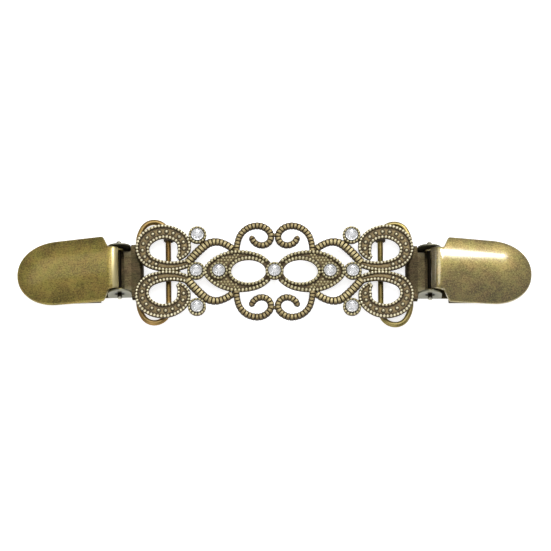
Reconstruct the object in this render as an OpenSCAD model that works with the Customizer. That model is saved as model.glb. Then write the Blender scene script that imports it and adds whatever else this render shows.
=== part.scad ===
// Sweater clip: a cast filigree panel set with round stones, hung by two wire rings
// between two sheet metal clips. The lid of each clip closes on a toothed jaw.
// Millimetres. X runs along the clip, Y across it, Z up from the surface it lies on.
// The panel is mirrored about both middle planes, so its tables describe one quarter.

/* [Wire rings] */
// Diameter of the ring wire
wire_d = 1.7; // [1.5:0.1:1.7]
// Distance from the middle of the panel to the ring bar in its hooks
hook_x = 31.9; // [31.5:0.1:32.2]
// Distance between the centre lines of a ring's two long bars
ring_span = 8.95; // [8.8:0.05:9.1]
// Distance from the middle of a ring to the centre line of its end
ring_half = 15.85; // [15.6:0.05:16]
// Radius of a ring's bend on the side of the casting
ring_corner_r = 4.3; // [4.2:0.05:4.4]
// Radius of a ring's bend on the side of the clip
ring_nose_r = 3.9; // [3.7:0.1:4.1]
// Radius of the sweep from that bend to the bar in the hem
ring_sweep_r = 9; // [8:0.5:10]
// Turn of the left ring in its loose hooks, in degrees
ring_turn_left = 1; // [0:0.1:1]
// How far the left ring has slid along its bar in the hooks
ring_slide_left = 0.5; // [0:0.1:0.5]
// How far the right ring has slid along its bar in the hooks
ring_slide_right = -0.15; // [-0.2:0.05:0]

/* [Filigree casting] */
// Thickness of the pierced ground of the casting
ground_t = 1; // [0.8:0.1:1.4]
// Height of rims and ribbed bands above the ground
rim_h = 0.5; // [0.3:0.1:0.7]
// Width of the beaded rims
rim_w = 0.9; // [0.8:0.05:1]
// Gap between the sheet hem and the back of the casting
back_gap = 0.2; // [0.2:0.05:0.5]
// Hole radius of the hooks that hold a ring
hook_r = 1.1; // [1.1:0.05:1.15]
// Where a hook starts, measured from the middle plane
hook_y = 10.1; // [9.2:0.1:10.1]
// Width of a hook along the ring bar
hook_w = 1.6; // [1.2:0.1:1.6]

/* [Stones] */
// Radius of a stone at its girdle
stone_r = 1.85; // [1.7:0.05:1.9]
// Height of a stone from culet to table
stone_h = 2; // [1.8:0.1:2.1]
// Outer radius of a stone cup
cup_r = 2.75; // [2.6:0.05:2.8]
// Height of a cup above the ground of the casting
cup_h = 0.9; // [0.7:0.1:1.1]
// Slack between a stone and its cup
stone_slack = 0.1; // [0.08:0.02:0.14]

/* [Clip base] */
// Thickness of the sheet metal
sheet_t = 0.6; // [0.5:0.05:0.6]
// Slack of a ring bar inside the rolled hem
hem_slack = 0.15; // [0.15:0.01:0.2]
// Width of the rolled hem
hem_w = 16.7; // [16:0.1:17.5]
// Distance from the ring bar to the end of the wide hem
hem_l = 2.15; // [2:0.05:2.3]
// Width of the narrow tab folded over the base
tab_w = 12.5; // [11:0.1:12.5]
// Distance from the ring bar to the end of the tab
tab_l = 4.3; // [3.8:0.05:4.5]
// Width of the base jaw
jaw_w = 17.8; // [16:0.1:17.8]
// Height of the toothed lip
tooth_h = 1.5; // [1.2:0.1:1.6]
// Number of notches in the toothed lip
notches = 11; // [7:2:13]
// Turn of the left clip on its ring, in degrees
clip_turn_left = 0.8; // [0:0.1:0.8]
// How far the left clip has slid along its ring
clip_slide_left = 0.1; // [0:0.1:0.3]

/* [Hinge] */
// Distance from the ring bar to the hinge pin
pin_l = 5.75; // [5.7:0.05:5.8]
// Height of the hinge pin above the surface
pin_z = 4.4; // [4.4:0.05:4.5]
// Radius of the hinge pin
pin_r = 0.65; // [0.6:0.05:0.7]
// Running clearance around the pin
pin_fit = 0.06; // [0.04:0.01:0.08]
// Length of the hinge pin over its rounded ends
pin_len = 18.4; // [17:0.1:19]
// Radius of the ears around the pin
ear_r = 3.6; // [3.2:0.1:3.6]
// Distance over the outer faces of the ears
ear_w = 15; // [14.8:0.1:15.2]
// Radius of the dimple around the pin on each ear
dimple_r = 1.25; // [1.1:0.05:1.4]

/* [Lid] */
// Width of the lid
lid_w = 20.4; // [19:0.1:20.4]
// Width of the lid before its nose, a little less than at the shoulders
lid_front_w = 20; // [19:0.1:20.4]
// Width of the lid's neck between the ears
neck_w = 13.2; // [12.4:0.1:13.2]
// Radius of the bend that rolls the neck down over the pin
neck_roll = 2.2; // [2:0.1:2.6]
// Distance from the pin to the tip of the lid
lid_l = 30.9; // [29:0.1:31]
// Distance from the pin to the shoulders of the left lid
shoulder_left = 2.4; // [2.4:0.1:3.8]
// Distance from the pin to the shoulders of the right lid
shoulder_right = 3.4; // [2.4:0.1:3.8]
// Length of the half ellipse that ends the lid
lid_nose = 12.6; // [11:0.1:13]
// Radius of the lid's crown across its width
crown_r = 32; // [28:1:40]
// Depth from the top of the crown to the lower edge
lid_depth = 2.3; // [2.1:0.1:2.4]
// Height of the lid's top above the pin, square to the lid
lid_top = 5.05; // [5:0.05:5.15]
// Slope of the closed lid, in degrees
lid_slope = 13; // [12.5:0.1:13.1]
// Radius of the lug eyes around the pin
eye_r = 1.35; // [1.2:0.05:1.4]

/* [Hidden] */
$fn = 48;
overlap = 0.2;

wire_r = wire_d / 2;
hem_in_r = wire_r + hem_slack;
bar_z = hem_in_r + sheet_t;
clip_x = hook_x + ring_span;
pin_x = clip_x + pin_l;
wire_lap = 0.15;
ring_tip_x = ring_corner_r - ring_span / 2;
sweep_turn = acos((ring_sweep_r + ring_corner_r - ring_span) / (ring_sweep_r - ring_nose_r));
hem_bar_half = ring_half - ring_nose_r - (ring_sweep_r - ring_nose_r) * sin(sweep_turn);
back_z = 2 * bar_z + back_gap;
ground_z = back_z + ground_t;
rim_z = ground_z + rim_h;

// Stone places in the right half
mid_x = 23.5;
inner_x = 16.7;
corner_x = 23.2;
corner_y = 11.3;

// Places of all nine stones
stone_places = concat(
    [[0, 0]],
    [for (side = [-1, 1]) each [
        [side * mid_x, 0],
        [side * inner_x, 0],
        [side * corner_x, corner_y],
        [side * corner_x, -corner_y]]]);
stone_z = ground_z + cup_h - stone_h / 2;

// Scrolls of one quarter, each a run of tangent arcs.
// Columns: radius, turn to the left, width at the arc's end. The width is measured
// between the two rows of beads on the comma, and over all on the other bands.
arc_step = 15;
round_fn = 16;
scroll_foot = [26.2, 2.5];
comma_heading = -22.5;
comma_w = 1.7;
comma_arcs = [
    [13.6, 46, 2.7],
    [4.85, 117, 3.7],
    [7.35, 79.5, 3.15],
    [4, 63.5, 3.15],
    [4.8, 40, 0.5]];
s_heading = 127;
s_w = 2.6;
s_arcs = [
    [36, 12, 2.6],
    [5.2, 59.5, 2.15],
    [9.6, 23.5, 2.15]];
spiral_foot = [11.4, 6.1];
spiral_heading = 89;
spiral_w = 1.9;
spiral_arcs = [
    [13.24, 18, 1.9],
    [5.88, 74, 2.05],
    [4.42, 55, 2],
    [2.71, 124, 1.9],
    [3.22, 84, 1.85]];
almond_foot = [20.85, 0];
almond_heading = 91.5;
almond_arcs = [
    [3.2, 40.5, 0],
    [12, 45, 0],
    [17.5, 19, 0],
    [9, 33, 0]];

// Oval window in each almond
window_x = 7.8;
window_a = 5.3;
window_b = 3.65;

// Solder bridge between the two spirals of the upper and the lower pair
bridge_y = 11.4;
bridge_l = 1.6;
bridge_w = 1.4;
joint_fill = 0.2;
rim_inset = 0.12;

// One station of an arc run: x, y, heading, width
function arc_point(p, h, r, a, w, w1, t) =
    let (h1 = h + a * t)
    [p.x + r * (sin(h1) - sin(h)), p.y + r * (cos(h) - cos(h1)), h1, w + (w1 - w) * t];

// Stations along a whole run of left-turning arcs
function arc_run(rows, p, h, w, i = 0) =
    i == len(rows) ? [[p.x, p.y, h, w]] :
    let (
        r = rows[i][0],
        a = rows[i][1],
        w1 = rows[i][2],
        n = ceil(a / arc_step),
        last = arc_point(p, h, r, a, w, w1, 1))
    concat(
        [for (k = [0:n - 1]) arc_point(p, h, r, a, w, w1, k / n)],
        arc_run(rows, [last.x, last.y], last[2], w1, i + 1));

// One edge of a run, side 1 on the left of its heading and -1 on the right
function run_edge(run, side, extra) =
    [for (s = run)
        let (d = side * max(0.05, (s[3] + extra) / 2))
        [s.x - d * sin(s[2]), s.y + d * cos(s[2])]];

function reversed(list) = [for (i = [len(list) - 1:-1:0]) list[i]];

// Flat band along a run of arcs
module band(run, extra = 0) {
    polygon(concat(run_edge(run, 1, extra), reversed(run_edge(run, -1, extra))));
}

// Same flat shape in all four quarters
module quarters() {
    for (mx = [0, 1])
        for (my = [0, 1])
            mirror([mx, 0])
                mirror([0, my])
                    children();
}

comma_run = arc_run(comma_arcs, scroll_foot, comma_heading, comma_w);
s_run = arc_run(s_arcs, scroll_foot, s_heading, s_w);
spiral_run = arc_run(spiral_arcs, spiral_foot, spiral_heading, spiral_w);
almond_run = arc_run(almond_arcs, almond_foot, almond_heading, 0);
spiral_end = spiral_run[len(spiral_run) - 1];

module comma_tip() {
    tip = comma_run[len(comma_run) - 1];
    translate([tip.x, tip.y])
        circle(rim_w * 0.6, $fn = round_fn);
}

// Ribbed bands of one quarter: the diagonal band and the spiral with its round end
module ribbed_bands() {
    band(s_run);
    band(spiral_run);
    translate([spiral_end.x, spiral_end.y])
        circle(spiral_end[3] / 2, $fn = round_fn);
}

// Filled almond outline of the right half, with its beaded edge
module almond() {
    upper = [for (s = almond_run) [s.x, s.y]];
    lower = [for (s = reversed(almond_run)) [s.x, -s.y]];
    offset(delta = rim_w / 2)
        polygon(concat(upper, lower));
}

module window(extra = 0) {
    translate([window_x, 0])
        scale([(window_a + extra) / window_a, (window_b + extra) / window_b])
            scale([1, window_b / window_a])
                circle(window_a, $fn = 32);
}

module cups_flat(r) {
    for (p = stone_places)
        translate(p)
            circle(r, $fn = 24);
}

// Whole pierced outline of the casting
module casting_outline() {
    offset(delta = -joint_fill)
        offset(delta = joint_fill)
            difference() {
                union() {
                    quarters() {
                        band(comma_run, rim_w);
                        comma_tip();
                        ribbed_bands();
                        almond();
                    }
                    cups_flat(cup_r);
                    for (side = [-1, 1])
                        translate([0, side * bridge_y])
                            square([bridge_l, bridge_w], center = true);
                }
                quarters()
                    window();
            }
}

// Raised rims and ribbed bands, a little inside the outline
module rims_outline() {
    offset(delta = -rim_inset)
        difference() {
            quarters() {
                difference() {
                    band(comma_run, rim_w);
                    band(comma_run, -rim_w);
                }
                comma_tip();
                ribbed_bands();
                difference() {
                    almond();
                    offset(delta = -rim_w)
                        almond();
                }
                difference() {
                    window(rim_w);
                    window();
                }
            }
            cups_flat(cup_r - rim_inset);
            quarters()
                window();
        }
}

// Eye that holds a ring bar behind the casting
module hook() {
    hook_out_r = bar_z;
    translate([hook_x, hook_y + hook_w, bar_z])
        rotate([90, 0, 0])
            linear_extrude(hook_w)
                difference() {
                    union() {
                        circle(hook_out_r);
                        translate([-hook_r, 0])
                            square([2 * hook_r, back_z + overlap - bar_z]);
                    }
                    circle(hook_r);
                }
}

module cups() {
    for (p = stone_places)
        translate([p.x, p.y, ground_z - overlap])
            cylinder(r = cup_r - rim_inset, h = cup_h + overlap);
}

// Room for the stones in the cups and the ground below
module pockets() {
    for (p = stone_places)
        translate([p.x, p.y, stone_z - stone_slack])
            cylinder(r = stone_r + stone_slack, h = stone_h);
}

module filigree() {
    color("#8d7a4a")
        difference() {
            union() {
                translate([0, 0, back_z])
                    linear_extrude(ground_t)
                        casting_outline();
                translate([0, 0, ground_z - overlap])
                    linear_extrude(rim_h + overlap)
                        rims_outline();
                for (mx = [0, 1])
                    for (my = [0, 1])
                        mirror([mx, 0, 0])
                            mirror([0, my, 0])
                                hook();
                cups();
            }
            pockets();
        }
}

// Round stone with a flat table, its culet down in the cup
module stone(x, y) {
    table_r = stone_r * 0.55;
    culet_r = stone_r * 0.6;
    girdle_h = stone_h * 0.15;
    crown_h = stone_h * 0.4;
    color("#eef2f4")
        translate([x, y, stone_z])
            rotate_extrude()
                polygon([
                    [0, 0],
                    [culet_r, 0],
                    [stone_r, stone_h - crown_h - girdle_h],
                    [stone_r, stone_h - crown_h],
                    [table_r, stone_h],
                    [0, stone_h]]);
}

module stone_centre() {
    stone(0, 0);
}

module stone_inner_left() {
    stone(-inner_x, 0);
}

module stone_inner_right() {
    stone(inner_x, 0);
}

module stone_mid_left() {
    stone(-mid_x, 0);
}

module stone_mid_right() {
    stone(mid_x, 0);
}

module stone_top_left() {
    stone(-corner_x, corner_y);
}

module stone_top_right() {
    stone(corner_x, corner_y);
}

module stone_bottom_left() {
    stone(-corner_x, -corner_y);
}

module stone_bottom_right() {
    stone(corner_x, -corner_y);
}

// Puts a right-hand piece on the left, turned about the bar in the hooks
module left_of_hooks() {
    translate([-hook_x, ring_slide_left, 0])
        rotate([0, 0, ring_turn_left])
            translate([hook_x, 0, 0])
                mirror([1, 0, 0])
                    children();
}

// Puts a right-hand clip piece on the left, turned once more about the ring's outer bar
module left_of_ring() {
    translate([-hook_x, ring_slide_left, 0])
        rotate([0, 0, ring_turn_left])
            translate([-ring_span, clip_slide_left, 0])
                rotate([0, 0, clip_turn_left])
                    translate([clip_x, 0, 0])
                        mirror([1, 0, 0])
                            children();
}

// Bend of ring wire about a centre, from one direction to another
module wire_bend(centre, radius, from, to, thick) {
    translate([centre[0], centre[1], 0])
        rotate([0, 0, from])
            rotate_extrude(angle = to - from)
                translate([radius, 0])
                    circle(thick);
}

// Straight bar of ring wire along Y
module wire_bar(x, half) {
    translate([x, half, 0])
        rotate([90, 0, 0])
            cylinder(r = wire_r, h = 2 * half);
}

// One end of a ring: a corner on the side of the casting, a tighter bend on the side of the
// clip, and a wide sweep from there to the bar in the hem. Corner and sweep are a hair
// thicker, and the bars and the tighter bend run a little way into them.
module wire_end() {
    hair = wire_r + 0.01;
    wire_bend([ring_tip_x, ring_half - ring_corner_r], ring_corner_r, 90, 180, hair);
    wire_bend([ring_tip_x, ring_half - ring_nose_r], ring_nose_r, sweep_turn - 2, 92, wire_r);
    wire_bend([ring_span / 2 - ring_sweep_r, hem_bar_half], ring_sweep_r, 0, sweep_turn, hair);
}

// Wire bent to a long loop, one bar in the hooks and one in the hem
module wire_ring() {
    translate([hook_x + ring_span / 2, 0, bar_z]) {
        wire_bar(-ring_span / 2, ring_half - ring_corner_r + wire_lap);
        wire_bar(ring_span / 2, hem_bar_half + wire_lap);
        wire_end();
        mirror([0, 1, 0])
            wire_end();
    }
}

module ring_left() {
    color("#b08a45")
        left_of_hooks()
            wire_ring();
}

module ring_right() {
    color("#9c8a4a")
        translate([0, ring_slide_right, 0])
            wire_ring();
}

// Outline with a half ellipse at its far end: half width, start, end of the straight part, tip
module tongue(half_w, x0, x1, x2) {
    nose = [for (t = [-90:6:90]) [x1 + (x2 - x1) * cos(t), half_w * sin(t)]];
    polygon(concat([[x0, -half_w]], nose, [[x0, half_w]]));
}

// Side view of the hem rolled around the ring bar, swept across the clip
module hem() {
    translate([clip_x, hem_w / 2, bar_z])
        rotate([90, 0, 0])
            linear_extrude(hem_w)
                difference() {
                    union() {
                        circle(bar_z);
                        translate([0, -bar_z])
                            square([hem_l, 2 * bar_z]);
                    }
                    circle(hem_in_r);
                    translate([0, -hem_in_r])
                        square([hem_l + overlap, 2 * hem_in_r]);
                }
}

// Upright ear beside the lid's neck, with the hole for the hinge pin
module ear(side) {
    y_out = side > 0 ? ear_w / 2 : -ear_w / 2 + sheet_t;
    dimple_depth = sheet_t * 0.4;
    difference() {
        translate([pin_x, y_out, 0])
            rotate([90, 0, 0])
                linear_extrude(sheet_t)
                    union() {
                        translate([0, pin_z])
                            circle(ear_r);
                        translate([-ear_r, 0])
                            square([2 * ear_r, pin_z]);
                    }
        translate([pin_x, ear_w, pin_z])
            rotate([90, 0, 0])
                cylinder(r = pin_r + pin_fit, h = 2 * ear_w);
        translate([pin_x, side * (ear_w / 2 - dimple_depth), pin_z])
            rotate([-90 * side, 0, 0])
                cylinder(r = dimple_r, h = sheet_t);
    }
}

jaw_x = pin_x + ear_r + 2;
jaw_straight_x = pin_x + lid_l - lid_nose;
jaw_tip_x = pin_x + lid_l - 1.9;

// Lip turned up along the nose of the jaw and notched into teeth
module toothed_lip() {
    lip_start_x = jaw_straight_x + 5.7;
    notch_w = 0.7;
    notch_step = 1.3;
    difference() {
        linear_extrude(tooth_h)
            intersection() {
                difference() {
                    tongue(jaw_w / 2, jaw_x, jaw_straight_x, jaw_tip_x);
                    tongue(jaw_w / 2 - sheet_t, jaw_x, jaw_straight_x, jaw_tip_x - sheet_t);
                }
                translate([lip_start_x, -jaw_w])
                    square([lid_nose, 2 * jaw_w]);
            }
        for (i = [-(notches - 1) / 2:(notches - 1) / 2])
            translate([lip_start_x, i * notch_step - notch_w / 2, sheet_t])
                cube([lid_nose, notch_w, tooth_h]);
    }
}

module clip_base() {
    hem();
    translate([clip_x + hem_l - overlap, -tab_w / 2, 2 * bar_z - sheet_t])
        cube([tab_l - hem_l + overlap, tab_w, sheet_t]);
    translate([clip_x + hem_l - overlap, -ear_w / 2, 0])
        cube([jaw_x + 2 - clip_x - hem_l, ear_w, sheet_t]);
    for (side = [-1, 1])
        ear(side);
    linear_extrude(sheet_t)
        tongue(jaw_w / 2, jaw_x, jaw_straight_x, jaw_tip_x);
    toothed_lip();
}

module clip_base_left() {
    color("#8f8a78")
        left_of_ring()
            clip_base();
}

module clip_base_right() {
    color("#8f8a78")
        clip_base();
}

// Pin with rounded ends that stand out of the ears
module hinge_pin() {
    translate([pin_x, 0, pin_z])
        rotate([90, 0, 0])
            rotate_extrude()
                intersection() {
                    union() {
                        translate([0, -pin_len / 2 + pin_r])
                            square([pin_r, pin_len - 2 * pin_r]);
                        for (side = [-1, 1])
                            translate([0, side * (pin_len / 2 - pin_r)])
                                circle(pin_r);
                    }
                    translate([0, -pin_len / 2])
                        square([pin_r, pin_len]);
                }
}

module hinge_pin_left() {
    color("#a0a09a")
        left_of_ring()
            hinge_pin();
}

module hinge_pin_right() {
    color("#a0a09a")
        hinge_pin();
}

// Plan of the lid, with x from the pin: neck, slanted shoulders, tapered sides and nose
neck_x = -0.5;
module lid_plan(shoulder_x, inset = 0) {
    shoulder_run = 1.7;
    nose_x = lid_l - lid_nose;
    half_w = lid_w / 2;
    offset(delta = -inset)
        union() {
            tongue(lid_front_w / 2, nose_x - overlap, nose_x, lid_l);
            polygon([
                [neck_x, -neck_w / 2],
                [shoulder_x, -neck_w / 2],
                [shoulder_x + shoulder_run, -half_w],
                [nose_x, -lid_front_w / 2],
                [nose_x, lid_front_w / 2],
                [shoulder_x + shoulder_run, half_w],
                [shoulder_x, neck_w / 2],
                [neck_x, neck_w / 2]]);
        }
}

// Everything under the lid's side view, whose neck end is rolled down in a quarter circle
module under_roll(inset) {
    roll = [neck_x + neck_roll, lid_top - neck_roll];
    rotate([90, 0, 0])
        linear_extrude(2 * lid_w, center = true)
            union() {
                translate(roll)
                    circle(neck_roll - inset);
                translate([neck_x + inset, 0])
                    square([lid_l, roll.y]);
                translate([roll.x, 0])
                    square([lid_l, lid_top - inset]);
            }
}

// Everything under the crown of a given radius, from the lower edge up
module under_crown(r) {
    intersection() {
        translate([-lid_l, 0, lid_top - crown_r])
            rotate([0, 90, 0])
                cylinder(r = r, h = 3 * lid_l, $fn = 96);
        translate([-lid_l, -lid_w, lid_top - lid_depth])
            cube([3 * lid_l, 2 * lid_w, lid_depth]);
    }
}

// Lug that hangs the lid on the pin, inside an ear
module lug(side) {
    back_x = -0.1;
    root_z = lid_top - 0.75;
    y_out = side > 0 ? neck_w / 2 : -neck_w / 2 + sheet_t;
    translate([0, y_out, 0])
        rotate([90, 0, 0])
            linear_extrude(sheet_t)
                difference() {
                    union() {
                        circle(eye_r);
                        polygon([
                            [back_x, 0],
                            [eye_r, 0],
                            [neck_x + 3.2, root_z],
                            [neck_x + 1.3, root_z],
                            [neck_x + 0.2, lid_top - neck_roll + 0.5]]);
                    }
                    circle(pin_r + pin_fit);
                }
}

module clip_lid(shoulder_x) {
    translate([pin_x, 0, pin_z])
        rotate([0, lid_slope, 0]) {
            difference() {
                intersection() {
                    linear_extrude(lid_top + 1)
                        lid_plan(shoulder_x);
                    under_crown(crown_r);
                    under_roll(0);
                }
                intersection() {
                    linear_extrude(lid_top + 1)
                        lid_plan(shoulder_x, sheet_t);
                    under_crown(crown_r - sheet_t);
                    under_roll(sheet_t);
                }
            }
            for (side = [-1, 1])
                lug(side);
        }
}

module clip_lid_left() {
    color("#8a7d48")
        left_of_ring()
            clip_lid(shoulder_left);
}

module clip_lid_right() {
    color("#93854c")
        clip_lid(shoulder_right);
}

filigree();
stone_centre();
stone_inner_left();
stone_inner_right();
stone_mid_left();
stone_mid_right();
stone_top_left();
stone_top_right();
stone_bottom_left();
stone_bottom_right();
ring_left();
ring_right();
clip_base_left();
clip_base_right();
hinge_pin_left();
hinge_pin_right();
clip_lid_left();
clip_lid_right();
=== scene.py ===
"""Sweater clip: a cast scrollwork panel set with round stones, hung by two wire rings between
two lidded clips of stamped sheet. Points are worked out in millimetres in the part's own frame
and written into the meshes in metres."""

import math

import bmesh
import bpy
import numpy as np
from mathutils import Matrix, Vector


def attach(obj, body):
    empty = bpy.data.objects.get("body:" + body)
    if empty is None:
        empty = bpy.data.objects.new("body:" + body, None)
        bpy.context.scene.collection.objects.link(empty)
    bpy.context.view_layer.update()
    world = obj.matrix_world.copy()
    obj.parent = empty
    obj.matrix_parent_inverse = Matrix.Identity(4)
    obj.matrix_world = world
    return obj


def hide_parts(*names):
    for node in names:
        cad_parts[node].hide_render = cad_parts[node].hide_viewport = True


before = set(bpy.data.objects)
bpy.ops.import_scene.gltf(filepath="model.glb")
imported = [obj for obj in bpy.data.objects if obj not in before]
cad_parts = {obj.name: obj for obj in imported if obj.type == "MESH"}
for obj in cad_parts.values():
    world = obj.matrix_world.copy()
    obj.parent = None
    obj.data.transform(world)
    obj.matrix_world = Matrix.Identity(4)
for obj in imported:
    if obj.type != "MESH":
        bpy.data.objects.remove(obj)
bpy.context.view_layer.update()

# The view and the studio
# The clip lies on a pale light table, seen from nearly straight above through a long lens. A wide
# soft box hangs over it, two more stand to the left and in front, and a small one behind and to
# the right gives the streak on the right lid.

MM = 0.001
PHOTO_PX = 551
MM_PER_PX = 0.3
CAMERA_RISE = math.radians(72.5)
CAMERA_AWAY = 1000
SENSOR = 36
TENT_GLOW = 0.52
PANEL_TOP = np.array([0, 0, 4.9])
PANEL_TOP_PX = np.array([274.5, 270.4])

look_up = np.array([0, math.sin(CAMERA_RISE), math.cos(CAMERA_RISE)])
look_back = np.array([0, -math.cos(CAMERA_RISE), math.sin(CAMERA_RISE)])
off_px = PHOTO_PX / 2 - PANEL_TOP_PX
aim = PANEL_TOP + off_px[0] * MM_PER_PX * np.array([1, 0, 0]) - off_px[1] * MM_PER_PX * look_up

camera = bpy.data.objects.new("camera", bpy.data.cameras.new("camera"))
camera.data.sensor_width = SENSOR
camera.data.lens = SENSOR * CAMERA_AWAY / (PHOTO_PX * MM_PER_PX)
camera.data.clip_start = 0.05
camera.location = (aim + look_back * CAMERA_AWAY) * MM
camera.rotation_euler = (math.pi / 2 - CAMERA_RISE, 0, 0)
bpy.context.scene.collection.objects.link(camera)
bpy.context.scene.camera = camera
bpy.context.scene.view_settings.view_transform = "Standard"


def soft_box(name, toward, distance, width, height, power, shape="RECTANGLE"):
    """A flat lamp that stands at toward * distance and faces the middle of the table."""
    lamp = bpy.data.lights.new(name, "AREA")
    lamp.shape, lamp.size, lamp.size_y, lamp.energy = shape, width, height, power
    stand = bpy.data.objects.new(name, lamp)
    place = Vector(toward).normalized()
    stand.location = place * distance
    stand.rotation_euler = place.to_track_quat("Z", "Y").to_euler()
    bpy.context.scene.collection.objects.link(stand)


soft_box("streak_box", (0.39, 0.567, 0.727), 1.0, 0.24, 0.19, 3.4)
soft_box("top_box", (0.05, 0.33, 0.94), 1.2, 0.5, 1.1, 4.4, "ELLIPSE")
soft_box("left_box", (-0.5, 0.36, 0.79), 1.2, 0.8, 0.34, 1.0, "ELLIPSE")
soft_box("front_box", (-0.25, -0.8, 0.5), 1.2, 0.9, 0.3, 3.0)

world = bpy.data.worlds.new("white_tent")
bpy.context.scene.world = world
world.use_nodes = True
tent = world.node_tree.nodes["Background"]
tent.inputs["Color"].default_value = (1, 1, 1, 1)
tent.inputs["Strength"].default_value = TENT_GLOW


class Wire:
    """An output socket in a material. Sums written with wires add Math nodes."""

    def __init__(self, tree, socket=None):
        self.tree, self.socket = tree, socket

    def node(self, kind, settings=None, out=0, **inputs):
        """Adds a node. Inputs go by name, with _ for a space, or as i and a number."""
        made = self.tree.nodes.new("ShaderNode" + kind)
        for name, value in (settings or {}).items():
            if name == "stops":
                ramp = made.color_ramp
                while len(ramp.elements) < len(value):
                    ramp.elements.new(0.5)
                for stop, (place, colour) in zip(ramp.elements, value):
                    stop.position = place
                    stop.color = (*colour, 1)
            else:
                setattr(made, name, value)
        for name, value in inputs.items():
            key = int(name[1:]) if name[1:].isdigit() else name.replace("_", " ")
            if isinstance(value, Wire):
                self.tree.links.new(value.socket, made.inputs[key])
            else:
                made.inputs[key].default_value = value
        return Wire(self.tree, made.outputs[out]) if made.outputs else None

    def math(self, operation, first, second, **settings):
        """One sum of two values, each a wire or a number."""
        return self.node("Math", {"operation": operation, **settings}, i0=first, i1=second)

    def __add__(self, other):
        return self.math("ADD", self, other)

    def __sub__(self, other):
        return self.math("SUBTRACT", self, other)

    def __rsub__(self, other):
        return self.math("SUBTRACT", other, self)

    def __mul__(self, other):
        return self.math("MULTIPLY", self, other)

    __radd__, __rmul__ = __add__, __mul__

    def clamped(self):
        """The same value, held between 0 and 1."""
        return self.math("ADD", self, 0.0, use_clamp=True)

    def mix(self, low, high):
        """Colour low where this wire is 0 and high where it is 1."""
        settings = {"data_type": "RGBA", "clamp_factor": True}
        return self.node("Mix", settings, out=2, i0=self, i6=low, i7=high)


def rgb(red, green, blue):
    """A colour given as the 0 to 255 levels seen on screen, turned to linear light."""
    levels = np.array([red, green, blue]) / 255
    return tuple(np.where(levels <= 0.04045, levels / 12.92, ((levels + 0.055) / 1.055) ** 2.4))


def new_finish(name):
    """An empty material and the wire that its nodes start from."""
    material = bpy.data.materials.new(name)
    material.use_nodes = True
    material.node_tree.nodes.clear()
    return material, Wire(material.node_tree)


def surface(wire, **inputs):
    """Ends a material in one Principled shader."""
    wire.node("OutputMaterial", i0=wire.node("BsdfPrincipled", **inputs))


TABLE_HALF = 6000
TABLE_CORNERS = np.array([(-1, -1, 0), (1, -1, 0), (1, 1, 0), (-1, 1, 0)])
table_finish, wire = new_finish("table_paint")
surface(
    wire, Base_Color=(0.8, 0.8, 0.8, 1), Roughness=0.8, Specular_IOR_Level=0.2,
    Emission_Color=(1, 1, 1, 1), Emission_Strength=0.75)
table_mesh = bpy.data.meshes.new("table")
table_mesh.from_pydata(TABLE_CORNERS * TABLE_HALF * MM, [], [(0, 1, 2, 3)])
table_mesh.materials.append(table_finish)
table = bpy.data.objects.new("table", table_mesh)
bpy.context.scene.collection.objects.link(table)


# Comma scrolls
# Four comma-shaped scrolls end the panel, cast in one with the rest in zinc alloy, plated as
# brass and blackened in the hollows. Each has a sunk floor with a row of grains, and a rim of
# fine beads on both edges.

BACK_Z, GROUND_Z = 3.4, 4.4
BEAD_SIDES, BEAD_TIERS = 9, 5
RIM_BEAD, RIM_BEAD_Z, RIM_BEAD_PITCH = (0.441, 0.45, 0.42), 4.64, 1.04
FLOOR_GRAIN, FLOOR_GRAIN_Z, FLOOR_GRAIN_PITCH = (0.5, 0.5, 0.46), 4.36, 2.13
FIRST_GRAIN, LAST_GRAIN = 9.6, 3.4  # millimetres from the comma's foot and from its tip
# A flat dark disc round the foot of each grain: painted shade.
GRAIN_SHADE, GRAIN_SHADE_SINK = (0.8, 0.8, 0.1), 0.08
CORNERS = {"top_right": (1, 1), "top_left": (-1, 1), "low_right": (1, -1), "low_left": (-1, -1)}
SCROLL_FOOT = (26.2, 2.5)
COMMA_HEADING, COMMA_WIDTH = -22.5, 1.7
COMMA_ARCS = [  # radius, turn, width between the bead rows at the arc's end
    (13.6, 46, 2.7),
    (4.85, 117, 3.7),
    (7.35, 79.5, 3.15),
    (4, 63.5, 3.15),
    (4.8, 40, 0.5)]


def arc_run(arcs, foot, heading, width, step):
    """Stations x, y, heading, width, length along tangent arcs that turn left: on each arc
    x = x0 + r (sin h - sin h0) and y = y0 + r (cos h0 - cos h), every step millimetres."""
    rows, x, y, h, length = [], foot[0], foot[1], math.radians(heading), 0
    for radius, turn, wide in arcs:
        sweep = math.radians(turn)
        t = np.linspace(0, 1, max(3, round(radius * sweep / step)) + 1)
        g = h + sweep * t
        xs = x + radius * (np.sin(g) - math.sin(h))
        ys = y + radius * (math.cos(h) - np.cos(g))
        widths, lengths = width + (wide - width) * t, length + radius * sweep * t
        rows.append(np.stack([xs, ys, g, widths, lengths], 1)[:-1])
        x, y, h, width, length = xs[-1], ys[-1], g[-1], wide, length + radius * sweep
    return np.concatenate(rows + [np.array([[x, y, h, width, length]])])


def at_lengths(run, lengths):
    """Stations of a run at given lengths, straight between its own on either side."""
    return np.stack([np.interp(lengths, run[:, 4], run[:, k]) for k in range(5)], 1)


def beside(run, side, height):
    """Points side millimetres to the left of each station, at a height. side and height hold
    one row for each station: P = centre + side * left."""
    left = np.stack([-np.sin(run[:, 2]), np.cos(run[:, 2])], 1)
    flat = run[:, None, :2] + side[..., None] * left[:, None]
    return np.concatenate([flat, np.broadcast_to(height, side.shape)[..., None]], 2)


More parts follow.
